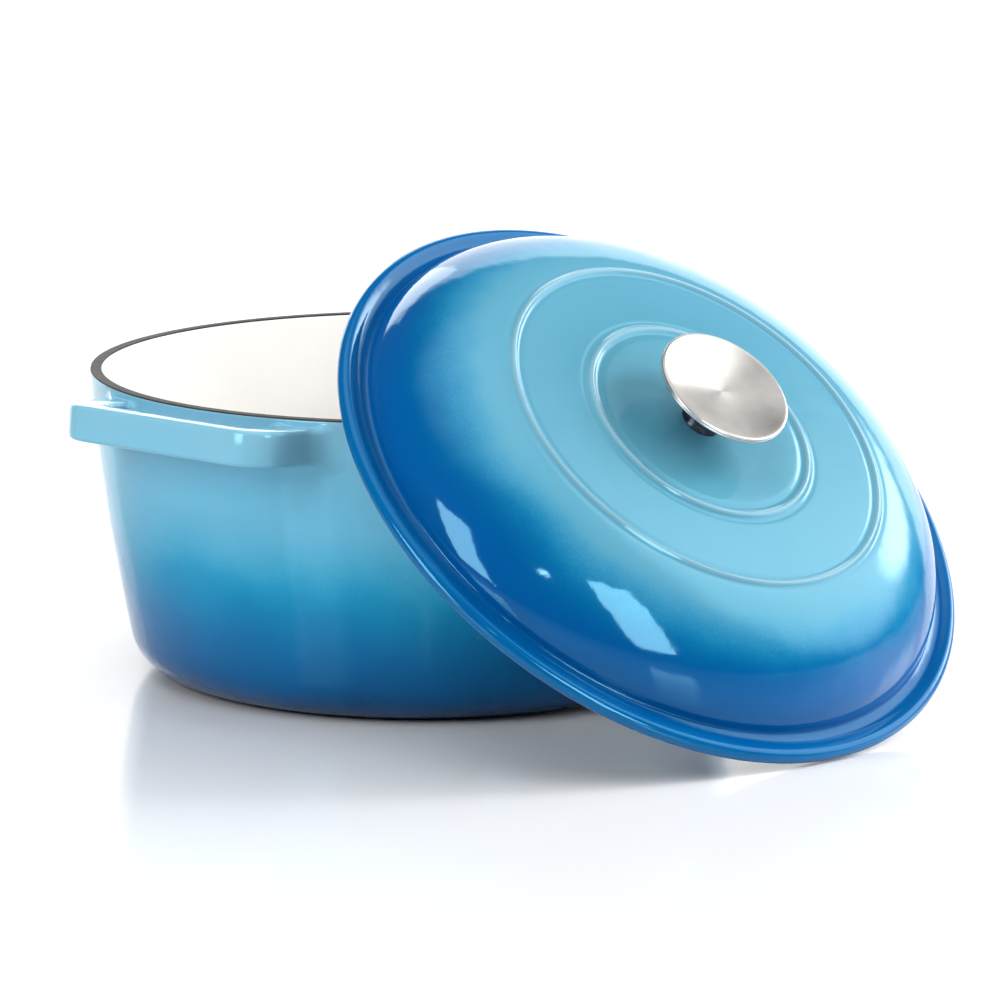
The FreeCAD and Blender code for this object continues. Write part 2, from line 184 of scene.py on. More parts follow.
LID_X = -13.0
LID_Y = -125.7
TABLE_GAP = 0.3

# --- Knob ---
STEM_BASE_RADIUS = 8.2
STEM_WAIST_RADIUS = 6.9
STEM_TOP_RADIUS = 8.6
STEM_HEIGHT = 13.6
STEM_SINK = 0.1             # the stem reaches this far into the lid and the disc
STEM_STEPS = 24
DISC_RADIUS = 26.9
DISC_RIM_TOP = 19.6
DISC_EDGE = 2.4
DISC_BEND = (0.66, 1.3, 4.0)    # share of the radius, rise and rounding of the bend underneath
DISC_SOFTNESS = 4           # steps on each rounding
# The edge of the disc, with its fine groove, as (in from the radius, up from the edge, rounding)
DISC_RIM = ((0.5, 0.0, 0.5), (0.0, 0.45, 0.3), (0.0, 0.95, 0.12), (0.3, 1.1, 0.12), (0.3, 1.2, 0.12),
            (0.0, 1.35, 0.12), (0.0, 2.1, 0.3), (0.6, 2.4, 0.4))
DISH_MARGIN = 1.6
DISH_LIP = 0.1
DISH_LIP_ROUNDING = 0.4
DISH_DEPTH = 3.0
DISH_STEPS = 40


# ---------------------------------------------------------------- mesh helpers

def make_object(name, points, faces, frame=Matrix.Identity(4)):
    """A smooth-shaded mesh object from points in millimetres, placed by a frame in metres.

    The mesh keeps two vectors at each point: "own", the place in the piece's own frame, and
    "spin", the direction of turning about its axis.
    """
    own = [Vector(p) * MM for p in points]
    mesh = bpy.data.meshes.new(name)
    mesh.from_pydata([frame @ p for p in own], [], faces)
    mesh.polygons.foreach_set("use_smooth", [True] * len(mesh.polygons))
    turn = frame.to_3x3()
    spin = [turn @ Vector((-p.y, p.x, 0.0)).normalized() for p in own]
    for label, vectors in (("own", own), ("spin", spin)):
        attribute = mesh.attributes.new(label, "FLOAT_VECTOR", "POINT")
        attribute.data.foreach_set("vector", [c for v in vectors for c in v])
    piece = bpy.data.objects.new(name, mesh)
    bpy.context.scene.collection.objects.link(piece)
    return piece


def turned(profile, turns=TURNS):
    """Points and faces of a closed profile, turned about Z."""
    points = []
    rows = []
    for radius, height in profile:
        if radius < ON_AXIS:
            rows.append([len(points)] * turns)
            points.append((0.0, 0.0, height))
            continue
        first = len(points)
        for step in range(turns):
            angle = 2 * math.pi * step / turns
            points.append((radius * math.cos(angle), radius * math.sin(angle), height))
        rows.append(list(range(first, first + turns)))
    faces = []
    for here, there in zip(rows, rows[1:] + rows[:1]):
        for step in range(turns):
            after = (step + 1) % turns
            corners = [here[step], here[after], there[after], there[step]]
            unique = list(dict.fromkeys(corners))
            if len(unique) > 2:
                faces.append(unique)
    return points, faces


def soften(corners, steps=7):
    """A profile with its corners rounded. Each corner is (radius, height, rounding)."""
    profile = []
    count = len(corners)
    for index, (radius, height, rounding) in enumerate(corners):
        here = Vector((radius, height))
        before = Vector(corners[index - 1][:2]) - here
        after = Vector(corners[(index + 1) % count][:2]) - here
        if rounding == 0:
            profile.append((radius, height))
            continue
        start = here + before.normalized() * min(rounding, before.length * ROUNDING_SHARE)
        end = here + after.normalized() * min(rounding, after.length * ROUNDING_SHARE)
        for step in range(steps + 1):
            t = step / steps
            at = start * (1 - t) ** 2 + here * 2 * t * (1 - t) + end * t ** 2
            profile.append((at.x, at.y))
    return profile


def join_parts(parts):
    """Several (points, faces) as one."""
    points = []
    faces = []
    for part_points, part_faces in parts:
        first = len(points)
        points += part_points
        faces += [[first + v for v in face] for face in part_faces]
    return points, faces


def loft(rings):
    """Points and faces of a skin over closed rings of equal size, with a cap at each end."""
    size = len(rings[0])
    faces = []
    for row in range(len(rings) - 1):
        for column in range(size):
            after = (column + 1) % size
            faces.append([row * size + column, row * size + after,
                          (row + 1) * size + after, (row + 1) * size + column])
    faces.append(list(range(size)))
    faces.append([(len(rings) - 1) * size + column for column in range(size)])
    return [p for ring in rings for p in ring], faces


def turned_half_way(part):
    points, faces = part
    return [(-x, -y, z) for x, y, z in points], faces


def point_outwards(piece):
    """Makes every shell's faces point out of it."""
    bpy.ops.object.select_all(action="DESELECT")
    piece.select_set(True)
    bpy.context.view_layer.objects.active = piece
    bpy.ops.object.mode_set(mode="EDIT")
    bpy.ops.mesh.select_all(action="SELECT")
    bpy.ops.mesh.normals_make_consistent(inside=False)
    bpy.ops.object.mode_set(mode="OBJECT")


# ---------------------------------------------------------------- pot

def wall_centre():
    """Centre of the arc that the barrelled wall follows."""
    lean = math.radians(WALL_LEAN)
    return RIM_RADIUS - WALL_CURVE * math.cos(lean), POT_HEIGHT + WALL_CURVE * math.sin(lean)


def wall_radius(height, inset=0.0):
    centre_r, centre_z = wall_centre()
    return centre_r + math.sqrt((WALL_CURVE - inset) ** 2 - (centre_z - height) ** 2)


def pot_side(inset, floor, corner, top, steps=60):
    """The wall from its top edge down, and round its corner onto the floor."""
    centre_r, centre_z = wall_centre()
    corner_z = floor + corner
    reach = WALL_CURVE - inset - corner
    corner_r = centre_r + math.sqrt(reach ** 2 - (centre_z - corner_z) ** 2)
    meet = math.atan2(corner_z - centre_z, corner_r - centre_r)
    join_z = corner_z + corner * math.sin(meet)
    side = []
    for step in range(steps):
        height = top + (join_z - top) * step / steps
        side.append((wall_radius(height, inset), height))
    for step in range(steps // 2 + 1):
        angle = meet + (-math.pi / 2 - meet) * step / (steps // 2)
        side.append((corner_r + corner * math.cos(angle), corner_z + corner * math.sin(angle)))
    return side


def outside_profile():
    """The blue coat: a rolled edge under the bare rim, the wall, the corner and the underside."""
    top = POT_HEIGHT - BARE_RIM
    low = top - ROLL_DEPTH
    roll = [(RIM_RADIUS + out, top + up, rounding) for out, up, rounding in OUTER_ROLL]
    rolled = soften(roll + [(wall_radius(low), low, 0)])
    side = pot_side(0, ENAMEL, CORNER_RADIUS, low)
    edge = FOOT_OUTER + COAT_GAP
    underside = [(edge, ENAMEL), (edge, ENAMEL + COAT_RETURN)]
    back = pot_side(COAT_BACK, ENAMEL + COAT_BACK, CORNER_RADIUS - COAT_BACK, top - COAT_BACK_DROP)
    return rolled[:-1] + side + underside + back[::-1]


def iron_profile():
    """The casting: bare rim, hidden wall and bare foot ring."""
    inner = RIM_RADIUS - WALL_THICKNESS + RIM_IN
    outer = RIM_RADIUS - RIM_OUT
    low = POT_HEIGHT - ROLL_DEPTH
    rim = soften([(inner, low, 0), (inner, POT_HEIGHT, RIM_EDGE),
                  (outer, POT_HEIGHT, RIM_EDGE), (outer, low, 0)])
    hidden_top = POT_HEIGHT - IRON_DROP
    outside = pot_side(IRON_BEHIND_BLUE, FOOT_DEPTH, CORNER_RADIUS - IRON_BEHIND_BLUE, hidden_top)
    foot = soften([(FOOT_OUTER, FOOT_DEPTH, 0), (FOOT_OUTER, 0.0, FOOT_EDGE),
                   (FOOT_INNER, 0.0, FOOT_EDGE), (FOOT_INNER, FOOT_DEPTH, 0)])
    middle = [(0.0, FOOT_DEPTH), (0.0, FLOOR_TOP - IRON_BEHIND_FLOOR)]
    inside = pot_side(WALL_THICKNESS - IRON_BEHIND_CREAM, FLOOR_TOP - IRON_BEHIND_CREAM,
                      INNER_CORNER_RADIUS, hidden_top)
    return rim + outside + foot + middle + inside[::-1]


def inside_profile():
    """The cream coat over the cooking surface."""
    top = POT_HEIGHT - BARE_RIM
    low = top - ROLL_DEPTH
    inner = RIM_RADIUS - WALL_THICKNESS
    drop, rounding = INNER_ROLL_FOOT
    roll = [(inner + out, top + up, bend) for out, up, bend in INNER_ROLL]
    roll.append((wall_radius(top - drop, WALL_THICKNESS), top - drop, rounding))
    rolled = soften(roll + [(wall_radius(low, WALL_THICKNESS), low, 0)])
    side = pot_side(WALL_THICKNESS, FLOOR_TOP, INNER_CORNER_RADIUS, low)
    middle = [(0.0, FLOOR_TOP), (0.0, FLOOR_TOP - ENAMEL)]
    back = pot_side(WALL_THICKNESS - ENAMEL, FLOOR_TOP - ENAMEL, INNER_CORNER_RADIUS, top - COAT_BACK_DROP)
    return rolled[:-1] + side + middle + back[::-1]


def base_profile():
    """The dark coat inside the foot ring."""
    edge = FOOT_INNER - COAT_GAP
    return soften([(edge, ENAMEL, BASE_EDGE), (0.0, ENAMEL, 0), (0.0, BASE_BACK, 0), (edge, BASE_BACK, 0)])


def section(width, height, corner_steps=7):
    """A bar's rounded section as (across, up, normal across, normal up), across = width/2 outwards."""
    ring = []
    for side_a, side_b, start in ((1, 1, 0), (-1, 1, 90), (-1, -1, 180), (1, -1, 270)):
        centre_a = side_a * (width / 2 - HANDLE_EDGE)
        centre_b = side_b * (height / 2 - HANDLE_EDGE)
        for step in range(corner_steps + 1):
            angle = math.radians(start + 90 * step / corner_steps)
            na = math.cos(angle)
            nb = math.sin(angle)
            ring.append((centre_a + HANDLE_EDGE * na, centre_b + HANDLE_EDGE * nb, na, nb))
    return ring


def lift(x, y, z):
    """A point of the level handle, turned up about its top line at the wall."""
    climb = math.radians(HANDLE_CLIMB)
    dx = x - HANDLE_WALL
    dz = z - HANDLE_TOP
    return (HANDLE_WALL + dx * math.cos(climb) - dz * math.sin(climb), y,
            HANDLE_TOP + dx * math.sin(climb) + dz * math.cos(climb))


def on_wall(y, z, distance):
    """The lifted point at this y and level z that stands this far out from the wall."""
    x = HANDLE_WALL
    for _ in range(WALL_ROUNDS):
        at = lift(x, y, z)
        x += math.sqrt(wall_radius(at[2]) ** 2 - y ** 2) + distance - at[0]
    return lift(x, y, z)


def root_ring(spread, rise, gap):
    """A ring where an arm flares into the wall: spread and rise are shares of the fillet's radius."""
    middle = (HANDLE_HALF_WIDTH + SLOT_HALF_WIDTH) / 2
    ring = []
    for across, up, na, nb in section(HANDLE_HALF_WIDTH - SLOT_HALF_WIDTH, HANDLE_HEIGHT):
        sideways = ROOT_OUTER if na > 0 else ROOT_INNER
        upright = ROOT_TOP if nb > 0 else ROOT_BOTTOM
        fillet = sideways * na ** 2 + upright * nb ** 2
        ring.append(on_wall(middle + across + na * fillet * spread,
                            HANDLE_MIDDLE + up + nb * fillet * spread, fillet * rise + gap))
    return ring


def bar_ring(outer_x, outer_y, inner_x, inner_y):
    """A ring of the bar between a point on its outer face and one on its inner face."""
    across_x = outer_x - inner_x
    across_y = outer_y - inner_y
    width = math.hypot(across_x, across_y)
    ring = []
    for across, up, _, _ in section(width, HANDLE_HEIGHT):
        share = across / width
        ring.append(lift((outer_x + inner_x) / 2 + across_x * share,
                         (outer_y + inner_y) / 2 + across_y * share, HANDLE_MIDDLE + up))
    return ring


def handle_parts():
    """The +X loop handle as a swept skin whose ends flare onto the wall."""
    rings = [root_ring(ROOT_SPREAD, 0.0, -ROOT_SUNK)]
    for step in range(ROOT_STEPS + 1):
        angle = math.pi / 2 * (1 - step / ROOT_STEPS)
        rings.append(root_ring(1 - math.cos(angle), 1 - math.sin(angle), -ROOT_OVERLAP))

    corner_x = HANDLE_REACH - HANDLE_CORNER
    corner_y = HANDLE_HALF_WIDTH - HANDLE_CORNER
    slot_face = HANDLE_REACH - HANDLE_BAR
    slot_x = slot_face - SLOT_CORNER
    slot_y = SLOT_HALF_WIDTH - SLOT_CORNER
    for step in range(BEND_STEPS + 1):
        angle = math.pi / 2 * (1 - step / BEND_STEPS)
        cos = math.cos(angle)
        sin = math.sin(angle)
        rings.append(bar_ring(corner_x + HANDLE_CORNER * cos, corner_y + HANDLE_CORNER * sin,
                              slot_x + SLOT_CORNER * cos, slot_y + SLOT_CORNER * sin))
    for step in range(1, BEND_STEPS + 1):
        share = 1 - step / BEND_STEPS
        rings.append(bar_ring(HANDLE_REACH, corner_y * share, slot_face, slot_y * share))
    mirrored = [[(x, -y, z) for x, y, z in ring] for ring in reversed(rings[:-1])]
    return loft(rings + mirrored)


# ---------------------------------------------------------------- lid

def dome(inset, steps=90):
    """The shoulder from the outer ring down to its root, moved in along its normal."""
    width = DOME_ROOT - RING_OUTER
    rise = RING_OUTER_Z - DOME_ROOT_Z
    points = []
    for step in range(steps + 1):
        t = math.pi / 2 * (1 - step / steps)
        r = RING_OUTER + width * max(math.cos(t), 0) ** (2 / DOME_POWER)
        z = DOME_ROOT_Z + rise * max(math.sin(t), 0) ** (2 / DOME_POWER)
        nr = max((r - RING_OUTER) / width, 0) ** (DOME_POWER - 1) / width
        nz = max((z - DOME_ROOT_Z) / rise, 0) ** (DOME_POWER - 1) / rise
        length = math.hypot(nr, nz)
        points.append((r - inset * nr / length, z - inset * nz / length))
    return points


def plateau_height(radius):
    """Height of the flatter middle of the lid's top, without its rings."""
    if radius <= CROWN_RADIUS:
        return CROWN_Z
    if radius <= RING_INNER:
        share = (radius - CROWN_RADIUS) / (RING_INNER - CROWN_RADIUS)
        return CROWN_Z + (RING_INNER_Z - CROWN_Z) * share
    share = (radius - RING_INNER) / (RING_OUTER - RING_INNER)
    return RING_INNER_Z + (RING_OUTER_Z - RING_INNER_Z) * share


def ridge(distance, half):
    """A soft raised ring with a faint hollow at each foot."""
    crest = math.exp(-(distance / (half * RING_CREST)) ** 2)
    feet = math.exp(-((abs(distance) - half * RING_FOOT) / (half * RING_FOOT_WIDTH)) ** 2)
    return RING_HEIGHT * (crest - RING_FOOT_DEPTH * feet)


def lid_top_height(radius, height):
    outer = ridge(radius - RING_OUTER, RING_OUTER_HALF)
    inner = ridge(radius - RING_INNER, RING_INNER_HALF)
    return height + outer + inner


def lid_outside_profile():
    bead = []
    bend = BEAD_RADIUS - SKIN_TRIM
    for step in range(BEAD_STEPS + 1):
        angle = -math.pi / 2 + BEAD_SWEEP * step / BEAD_STEPS
        bead.append((BEAD_CENTRE + bend * math.cos(angle), BEAD_RADIUS + bend * math.sin(angle)))
    shoulder = dome(SKIN_TRIM)[::-1]
    valley = soften([bead[-1] + (0,), (GROOVE_RADIUS, GROOVE_TOP, GROOVE_ROUNDING),
                     (VALLEY_RADIUS, VALLEY_TOP, VALLEY_ROUNDING), shoulder[2] + (0,)])
    top = []
    radius = RING_OUTER - FINE_STEP
    while radius > 0:
        top.append((radius, lid_top_height(radius, plateau_height(radius))))
        radius -= FINE_STEP if radius > CROWN_RADIUS else WIDE_STEP
    shoulder = [(r, lid_top_height(r, z)) for r, z in shoulder[3:]]
    middle = [(0.0, CROWN_Z), (0.0, CROWN_Z - CROWN_BACK)]
    back = dome(DOME_BACK) + [(BEAD_CENTRE - BEAD_BACK, BEAD_BACK)]
    return bead + valley[1:] + shoulder + top + middle + back


def lid_iron_profile():
    """The bare ring under the lid's edge, with the locating lip."""
    outer = LIP_OUTER - LIP_DRAFT
    inner = LIP_INNER + LIP_SETBACK
    over_inner, over_outer, over_bead = IRON_TOPS
    return soften([
        (BEAD_CENTRE + IRON_REACH, IRON_LOW, IRON_EDGE), (LIP_OUTER, 0.0, LIP_ROOT),
        (outer, -LIP_DEPTH, LIP_ROUNDING), (inner, -LIP_DEPTH, LIP_ROUNDING),
        (inner, over_inner, 0), (LIP_OUTER, over_outer, 0), (BEAD_CENTRE, over_bead, 0),
    ])


def underside_height(radius):
    """Height of the cream underside of the lid at a radius."""
    if radius <= RING_OUTER:
        return plateau_height(radius) - LID_THICKNESS
    points = dome(LID_THICKNESS)
    for a, b in zip(points, points[1:]):
        if a[0] <= radius <= b[0]:
            return a[1] + (b[1] - a[1]) * (radius - a[0]) / (b[0] - a[0])
    return points[-1][1]


def basting_nub(ring, angle):
    """One small dome that follows the underside and fades into it."""
    centre_x = ring * math.cos(angle)
    centre_y = ring * math.sin(angle)
    points = [(centre_x, centre_y, underside_height(ring) - BASTING_HEIGHT)]
    faces = []
    for level in range(1, BASTING_LEVELS + 1):
        share = level / BASTING_LEVELS
        drop = BASTING_HEIGHT * math.cos(math.pi / 2 * share) ** 2
        for step in range(BASTING_TURNS):
            turn = 2 * math.pi * step / BASTING_TURNS
            x = centre_x + BASTING_REACH * share * math.cos(turn)
            y = centre_y + BASTING_REACH * share * math.sin(turn)
            points.append((x, y, underside_height(math.hypot(x, y)) - drop + BASTING_SINK * share))
    for step in range(BASTING_TURNS):
        after = (step + 1) % BASTING_TURNS
        faces.append([0, 1 + after, 1 + step])
        for level in range(BASTING_LEVELS - 1):
            low = 1 + level * BASTING_TURNS
            high = low + BASTING_TURNS
            faces.append([low + step, low + after, high + after, high + step])
    return points, faces


def lid_inside_parts():
    """The cream coat of the lid with its rings of basting nubs."""
    edge, upper_edge = [(LIP_INNER + out, height) for out, height in MOUTH]
    side = [(r, z) for r, z in reversed(dome(LID_THICKNESS)) if z > CREAM_FOOT and r < LIP_INNER]
    top = []
    radius = RING_OUTER - UNDER_STEP
    while radius > 0:
        top.append((radius, plateau_height(radius) - LID_THICKNESS))
        radius -= WIDE_STEP
    ceiling = CROWN_Z - LID_THICKNESS
    middle = [(0.0, ceiling), (0.0, ceiling + CREAM_BACK)]
    back = [(r, z) for r, z in dome(LID_THICKNESS - CREAM_BACK) if r < LIP_INNER + CREAM_SPREAD]
    parts = [turned([edge] + side + top + middle + back + [upper_edge])]
    for ring, count in BASTING_RINGS:
        for index in range(count):
            parts.append(basting_nub(ring, 2 * math.pi * index / count))
    return join_parts(parts)


def disc_profile():
    """The dished disc of the knob."""
    rim = CROWN_Z + DISC_RIM_TOP
    under = CROWN_Z + STEM_HEIGHT
    edge = rim - DISC_EDGE
    dish_radius = DISC_RADIUS - DISH_MARGIN
    dish = []
    for step in range(DISH_STEPS):
        share = 1 - step / DISH_STEPS
        dish.append((dish_radius * share, rim - DISH_DEPTH + (DISH_DEPTH - DISH_LIP) * share ** 2))
    reach, rise, rounding = DISC_BEND
    outer = [(STEM_TOP_RADIUS, under, 0), (DISC_RADIUS * reach, under + rise, rounding)]
    outer += [(DISC_RADIUS - back, edge + up, bend) for back, up, bend in DISC_RIM]
    outer += [(dish_radius, rim - DISH_LIP, DISH_LIP_ROUNDING), dish[1] + (0,)]
    return soften(outer, DISC_SOFTNESS) + dish[2:] + [(0.0, rim - DISH_DEPTH), (0.0, under)]


def stem_profile():
    """The waisted sleeve between the lid and the disc."""
    top = CROWN_Z + STEM_HEIGHT + STEM_SINK
    foot = CROWN_Z - STEM_SINK
    waist = (STEM_BASE_RADIUS + STEM_TOP_RADIUS) / 2 - STEM_WAIST_RADIUS
    side = []
    for step in range(STEM_STEPS + 1):
        share = step / STEM_STEPS
        straight = STEM_BASE_RADIUS + (STEM_TOP_RADIUS - STEM_BASE_RADIUS) * share
        side.append((straight - waist * math.sin(math.pi * share), foot + (top - foot) * share))
    return side + [(0.0, top), (0.0, foot)]


def lid_frame():
    """Where the lid leans: the same placement as in the CAD source."""
    tilt = math.radians(LEAN_TILT)
    lowest = BEAD_RADIUS * math.cos(tilt) - BEAD_CENTRE * math.sin(tilt) - BEAD_RADIUS
    place = Matrix.Translation(Vector((LID_X, LID_Y, TABLE_GAP - lowest)) * MM)
    return place @ Matrix.Rotation(math.radians(LEAN_AZIMUTH), 4, "Z") @ Matrix.Rotation(tilt, 4, "Y")


# ---------------------------------------------------------------- materials

class Network:
    """The nodes of a material or of the world, with short ways to add to them."""

    def __init__(self, owner):
        owner.use_nodes = True
        self.nodes = owner.node_tree.nodes
        self.links = owner.node_tree.links

    def math(self, operation, a, b=0.0):
        node = self.nodes.new("ShaderNodeMath")
        node.operation = operation
        for socket, value in zip(node.inputs, (a, b)):
            if isinstance(value, (int, float)):
                socket.default_value = value
            else:
                self.links.new(value, socket)
        return node.outputs["Value"]

    def glow(self, way, centre, start, full, strength):
        """Soft-edged light round a direction: it grows from one cosine to the other."""
        facing = self.nodes.new("ShaderNodeVectorMath")
        facing.operation = "DOT_PRODUCT"
        facing.inputs[1].default_value = centre
        self.links.new(way, facing.inputs[0])
        fade = self.nodes.new("ShaderNodeMapRange")
        fade.interpolation_type = "SMOOTHSTEP"
        fade.inputs["From Min"].default_value = start
        fade.inputs["From Max"].default_value = full
        fade.inputs["To Max"].default_value = strength
        self.links.new(facing.outputs["Value"], fade.inputs["Value"])
        return fade.outputs["Result"]


class Paint(Network):
    """A material with a principled shader."""

    def __init__(self, name):
        self.material = bpy.data.materials.new(name)
        super().__init__(self.material)
        self.shader = self.nodes["Principled BSDF"]

    def set(self, **values):
        """Sets shader sockets; an underscore in a name stands for a space."""
        for label, value in values.items():
            self.shader.inputs[label.replace("_", " ")].default_value = value

    def kept(self, label):
        """A vector that make_object stored in the mesh."""
        node = self.nodes.new("ShaderNodeAttribute")
        node.attribute_name = label
        return node.outputs["Vector"]

    def radius_and_height(self, vector):
        split = self.nodes.new("ShaderNodeSeparateXYZ")
        self.links.new(vector, split.inputs["Vector"])
        x2 = self.math("POWER", split.outputs["X"], 2.0)
        y2 = self.math("POWER", split.outputs["Y"], 2.0)
        return self.math("SQRT", self.math("ADD", x2, y2)), split.outputs["Z"]

    def noise(self, vector, scale, detail=3.0, roughness=0.5):
        texture = self.nodes.new("ShaderNodeTexNoise")
        texture.inputs["Scale"].default_value = scale
        texture.inputs["Detail"].default_value = detail
        texture.inputs["Roughness"].default_value = roughness
        self.links.new(vector, texture.inputs["Vector"])
        return texture.outputs["Fac"]

    def wander(self, vector, span, scale, detail):
        """Noise that varies round zero over a span."""
        return self.math("MULTIPLY", self.math("SUBTRACT", self.noise(vector, scale, detail), 0.5), span)

    def average(self, a, b):
        return self.math("MULTIPLY", self.math("ADD", a, b), 0.5)

    def ramp(self, value, stops):
        """A colour ramp with stops of (place, linear colour)."""
        node = self.nodes.new("ShaderNodeValToRGB")
        node.color_ramp.interpolation = "B_SPLINE"
        elements = node.color_ramp.elements
        while len(elements) < len(stops):
            elements.new(0.5)
        for element, (place, colour) in zip(elements, stops):
            element.position = place
            element.color = (*colour, 1.0)
        self.links.new(value, node.inputs["Fac"])
        return node.outputs["Color"]

    def blend(self, share, colour, other):
        """A colour socket mixed with a fixed colour by a share."""
        mix = self.nodes.new("ShaderNodeMix")
        mix.data_type = "RGBA"
        sockets = {socket.identifier: socket for socket in mix.inputs}
        self.links.new(share, sockets["Factor_Float"])
        self.links.new(colour, sockets["A_Color"])
        sockets["B_Color"].default_value = (*other, 1.0)
        return next(socket for socket in mix.outputs if socket.identifier == "Result_Color")

    def colour(self, socket):
        self.links.new(socket, self.shader.inputs["Base Color"])

    def roughness(self, value, low, span):
        """Roughness from low upwards over a span, by a value from 0 to 1."""
        total = self.math("ADD", self.math("MULTIPLY", value, span), low)
        self.links.new(total, self.shader.inputs["Roughness"])

    def bump(self, *layers):
        """Bumps in a chain: each is (height socket, strength, distance in metres)."""
        normal = None
        for height, strength, distance in layers:
            node = self.nodes.new("ShaderNodeBump")
            node.inputs["Strength"].default_value = strength
            node.inputs["Distance"].default_value = distance
            self.links.new(height, node.inputs["Height"])
            if normal is not None:
                self.links.new(normal, node.inputs["Normal"])
            normal = node.outputs["Normal"]
        self.links.new(normal, self.shader.inputs["Normal"])


# Shades of the blue enamel, as (share of the way, linear colour)
POT_SHADES = (              # from the table up to the rim
    (0.02, (0.000, 0.030, 0.120)), (0.08, (0.000, 0.075, 0.235)), (0.20, (0.000, 0.118, 0.330)),
    (0.30, (0.000, 0.168, 0.390)), (0.41, (0.000, 0.255, 0.480)), (0.50, (0.035, 0.350, 0.565)),
    (0.62, (0.130, 0.435, 0.625)), (0.80, (0.155, 0.450, 0.630)), (0.95, (0.200, 0.450, 0.590)),
)
LID_SHADES = (              # from the crown out to the bead
    (0.05, (0.078, 0.265, 0.365)), (0.25, (0.090, 0.280, 0.385)), (0.45, (0.097, 0.290, 0.400)),
    (0.55, (0.085, 0.290, 0.405)), (0.60, (0.050, 0.255, 0.405)), (0.67, (0.008, 0.180, 0.355)),
    (0.73, (0.000, 0.120, 0.300)), (0.79, (0.000, 0.083, 0.280)), (0.85, (0.000, 0.086, 0.300)),
    (0.89, (0.000, 0.068, 0.245)), (0.97, (0.000, 0.105, 0.300)),
)
LID_SHADES_FROM = 40.0
LID_SHADES_TO = 134.0
# Painted highlight on the lid's raised rings: how far their colour moves towards a paler blue, and that
# blue
CREST_HIGHLIGHT_STRENGTH = 0.75
CREST_HIGHLIGHT_COLOUR = (0.22, 0.38, 0.46)
CREST_HIGHLIGHTS = ((RING_OUTER, 1.5), (RING_INNER, 1.6))     # (radius, half width) of the raised rings painted paler: a painted highlight for the light their crests catch


def shaded_enamel(name, by_height, low, high, stops, crest_highlights=()):
    """Gloss enamel whose colour shades from one end to the other, with a fine rippled surface.

    Each crest is (radius, half width): such a raised ring is painted paler, a painted highlight standing
    in for the light its crest catches.
    """
    paint = Paint(name)
    vector = paint.kept("own")
    radius, height = paint.radius_and_height(vector)
    along = height if by_height else radius
    share = paint.math("DIVIDE", paint.math("SUBTRACT", along, low * MM), (high - low) * MM)
    drift = paint.wander(vector, span=0.16, scale=28.0, detail=4.0)
    speck = paint.wander(vector, span=0.05, scale=900.0, detail=2.0)
    colour = paint.ramp(paint.math("ADD", share, paint.math("ADD", drift, speck)), stops)
    # Painted highlight: each raised ring's crest is painted paler
    for crest, half in crest_highlights:
        away = paint.math("DIVIDE", paint.math("SUBTRACT", radius, crest * MM), half * MM)
        fade = paint.math("POWER", paint.math("ABSOLUTE", away), 2.0)
        cover = paint.math("MAXIMUM", paint.math("SUBTRACT", 1.0, fade), 0.0)
        colour = paint.blend(paint.math("MULTIPLY", cover, CREST_HIGHLIGHT_STRENGTH), colour, CREST_HIGHLIGHT_COLOUR)
    paint.colour(colour)
    paint.roughness(paint.noise(vector, scale=60.0), low=0.05, span=0.05)
    paint.set(IOR=1.5, Specular_Tint=(0.35, 0.82, 1.0, 1.0))
    paint.bump((paint.noise(vector, scale=45.0, detail=2.0), 0.25, 0.0012),
               (paint.noise(vector, scale=260.0, detail=2.0), 0.10, 0.0003))
    return paint.material


def cream_enamel():
    paint = Paint("cream_enamel")
    vector = paint.kept("own")
    cloud = paint.noise(vector, scale=22.0, detail=4.0)
    paint.colour(paint.ramp(cloud, ((0.3, (0.82, 0.805, 0.78)), (0.7, (0.87, 0.857, 0.835)))))
    paint.roughness(paint.noise(vector, scale=70.0), low=0.12, span=0.10)
    paint.bump((paint.noise(vector, scale=50.0, detail=2.0), 0.2, 0.0010),
               (paint.noise(vector, scale=300.0, detail=2.0), 0.12, 0.0003))
    return paint.material


def bare_iron():
    paint = Paint("bare_iron")
    vector = paint.kept("own")
    grain = paint.noise(vector, scale=1400.0, detail=6.0, roughness=0.65)
    blotch = paint.noise(vector, scale=90.0, detail=4.0)
    paint.colour(paint.ramp(paint.average(grain, blotch), (
        (0.30, (0.010, 0.009, 0.008)), (0.52, (0.028, 0.025, 0.023)), (0.72, (0.075, 0.066, 0.060)),
    )))
    paint.set(Metallic=0.1, Specular_IOR_Level=0.3)
    paint.roughness(grain, low=0.45, span=0.35)
    paint.bump((grain, 0.5, 0.0003), (paint.noise(vector, scale=300.0, detail=5.0), 0.4, 0.0004))
    return paint.material


def spun_steel():
    """Steel with fine rings about its own axis."""
    paint = Paint("spun_steel")
    vector = paint.kept("own")
    radius, _ = paint.radius_and_height(vector)
    texture = paint.nodes.new("ShaderNodeTexNoise")
    texture.noise_dimensions = "1D"
    texture.inputs["Scale"].default_value = 3200.0
    texture.inputs["Detail"].default_value = 5.0
    paint.links.new(radius, texture.inputs["W"])
    rings = texture.outputs["Fac"]
    wear = paint.noise(vector, scale=160.0, detail=4.0)
    paint.colour(paint.ramp(paint.average(rings, wear), (
        (0.3, (0.56, 0.54, 0.52)), (0.5, (0.64, 0.62, 0.595)), (0.7, (0.71, 0.69, 0.665)),
    )))
    paint.set(Metallic=1.0, Anisotropic=0.75, Anisotropic_Rotation=0.25)
    paint.roughness(rings, low=0.25, span=0.12)
    paint.links.new(paint.kept("spin"), paint.shader.inputs["Tangent"])
    paint.bump((rings, 0.3, 0.00004))
    return paint.material


